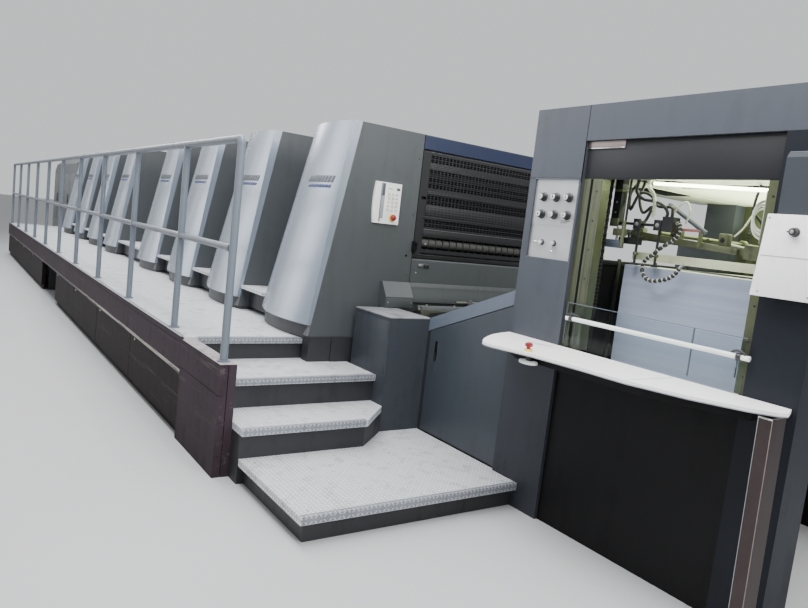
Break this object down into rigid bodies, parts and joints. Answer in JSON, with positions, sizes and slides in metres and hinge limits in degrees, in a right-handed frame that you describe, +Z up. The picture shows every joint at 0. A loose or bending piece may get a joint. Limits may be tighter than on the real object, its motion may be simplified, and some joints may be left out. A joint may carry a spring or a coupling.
{
  "type": "sheet-fed offset printing press",
  "caption": "Long sheet-fed offset press: a row of leaning silver-covered units on a base, a railed gallery with steps, a feeder with console, and a delivery.",
  "frame": {"origin": "on the floor under the base, on the press centreline, midway across the turning gap in the middle of the row of units", "axes": "+X runs along the press towards the feeder, +Y towards the drive side away from the gallery, +Z up"},
  "size_m": [16.652, 3.5583, 2.09],
  "materials": {
    "dark_paint": "satin slate grey enamel",
    "base_paint": "satin dark grey enamel",
    "silver_paint": "metallic silver paint",
    "blue_paint": "satin blue enamel",
    "guard_sheet": "textured dark grey powder coat",
    "tread_plate": "raised-pattern tread plate",
    "fascia_paint": "dull purple-grey paint, scuffed",
    "bare_rail": "plain aluminium strip",
    "rail_paint": "blue-grey enamel",
    "side_paint": "satin blue-grey enamel",
    "flange_paint": "light blue-grey enamel",
    "feeder_paint": "satin grey enamel",
    "navy_paint": "satin navy-grey enamel",
    "cream_paint": "pale canopy lining",
    "lamp_tube": "lit fluorescent tube",
    "board_wood": "plain pile board",
    "sheets": "stacked sheets, blue-grey at the cut edge",
    "green_cast": "green-grey painted castings",
    "black_metal": "oiled black steel",
    "clear_guard": "clear sheet guard",
    "white_paint": "white enamel",
    "brushed": "brushed plate",
    "black_plastic": "black plastic",
    "table_white": "white laminate",
    "control_white": "white enamel panel",
    "delivery_paint": "satin grey enamel"
  },
  "bodies": {
    "press": {"base_frame": "base_paint", "unit_1_housing": "dark_paint", "rear_housings": "dark_paint", "operator_covers": "silver_paint", "drive_covers": "silver_paint", "cover_plinths": "base_paint", "foot_steps": "tread_plate", "blue_bands": "blue_paint", "rear_guards": "guard_sheet", "control_panel": "control_white", "junction_box": "dark_paint", "gallery_deck": "tread_plate", "gallery_frame": "fascia_paint", "gallery_fascia": "fascia_paint", "gallery_strip": "bare_rail", "gallery_cupboards": "fascia_paint", "step_cheek": "fascia_paint", "treads": "tread_plate", "step_risers": "base_paint", "post_box": "side_paint", "railing": "rail_paint", "side_skirts": "base_paint", "feed_base": "base_paint", "feed_board": "brushed", "feed_side_panel": "side_paint", "feed_flanges": "flange_paint", "front_columns": "feeder_paint", "rear_posts": "navy_paint", "feeder_beams": "feeder_paint", "canopy": "cream_paint", "lamp": "lamp_tube", "guide_rails": "brushed", "suction_head": "green_cast", "side_blower": "black_metal", "blower_hose": "black_plastic", "air_hoses": "black_plastic", "hoist_chains": "black_metal", "knob_panel": "brushed", "console_table": "table_white", "console_frame": "base_paint", "console_leg": "brushed", "control_box": "navy_paint", "delivery_housing": "delivery_paint", "delivery_board": "board_wood"},
    "upper_guard": {"upper_guard": "guard_sheet"},
    "lower_guard": {"lower_guard": "dark_paint"},
    "feed_door": {"feed_side_door": "side_paint"},
    "pile": {"pile_board": "board_wood", "sheet_pile": "sheets"},
    "sliding_guard": {"slide_guard": "clear_guard", "guard_bar": "white_paint"},
    "knob_1": {"air_knob_1": "black_plastic"},
    "knob_2": {"air_knob_2": "black_plastic"},
    "knob_3": {"air_knob_3": "black_plastic"},
    "knob_4": {"air_knob_4": "black_plastic"},
    "knob_5": {"air_knob_5": "black_plastic"},
    "knob_6": {"air_knob_6": "black_plastic"},
    "lever_1": {"air_lever_1": "brushed"},
    "lever_2": {"air_lever_2": "brushed"}
  },
  "joints": [
    {"name": "upper_guard_hinge", "type": "hinge", "parent": "press", "child": "upper_guard", "pos_m": [4.765, 0, 1.935], "axis": [0, -1, 0], "range_deg": [0, 80]},
    {"name": "lower_guard_hinge", "type": "hinge", "parent": "press", "child": "lower_guard", "pos_m": [4.765, 0, 1.186], "axis": [0, -1, 0], "range_deg": [0, 90]},
    {"name": "feed_door_hinge", "type": "hinge", "parent": "press", "child": "feed_door", "pos_m": [6.008, -0.747, 0.6], "axis": [0, 0, 1], "range_deg": [0, 80]},
    {"name": "pile_hoist", "type": "slide", "parent": "press", "child": "pile", "axis": [0, 0, 1], "range_m": [-0.44, 0]},
    {"name": "guard_slide", "type": "slide", "parent": "press", "child": "sliding_guard", "axis": [0, 0, 1], "range_m": [0, 0.55]},
    {"name": "knob_1_turn", "type": "hinge", "parent": "press", "child": "knob_1", "pos_m": [6.13, -0.766, 1.644], "axis": [0, -1, 0], "range_deg": [0, 270]},
    {"name": "knob_2_turn", "type": "hinge", "parent": "press", "child": "knob_2", "pos_m": [6.217, -0.766, 1.644], "axis": [0, -1, 0], "range_deg": [0, 270]},
    {"name": "knob_3_turn", "type": "hinge", "parent": "press", "child": "knob_3", "pos_m": [6.304, -0.766, 1.644], "axis": [0, -1, 0], "range_deg": [0, 270]},
    {"name": "knob_4_turn", "type": "hinge", "parent": "press", "child": "knob_4", "pos_m": [6.13, -0.766, 1.556], "axis": [0, -1, 0], "range_deg": [0, 270]},
    {"name": "knob_5_turn", "type": "hinge", "parent": "press", "child": "knob_5", "pos_m": [6.217, -0.766, 1.556], "axis": [0, -1, 0], "range_deg": [0, 270]},
    {"name": "knob_6_turn", "type": "hinge", "parent": "press", "child": "knob_6", "pos_m": [6.304, -0.766, 1.556], "axis": [0, -1, 0], "range_deg": [0, 270]},
    {"name": "lever_1_turn", "type": "hinge", "parent": "press", "child": "lever_1", "pos_m": [6.155, -0.764, 1.412], "axis": [0, -1, 0], "range_deg": [0, 90]},
    {"name": "lever_2_turn", "type": "hinge", "parent": "press", "child": "lever_2", "pos_m": [6.239, -0.764, 1.412], "axis": [0, -1, 0], "range_deg": [0, 90]}
  ]
}
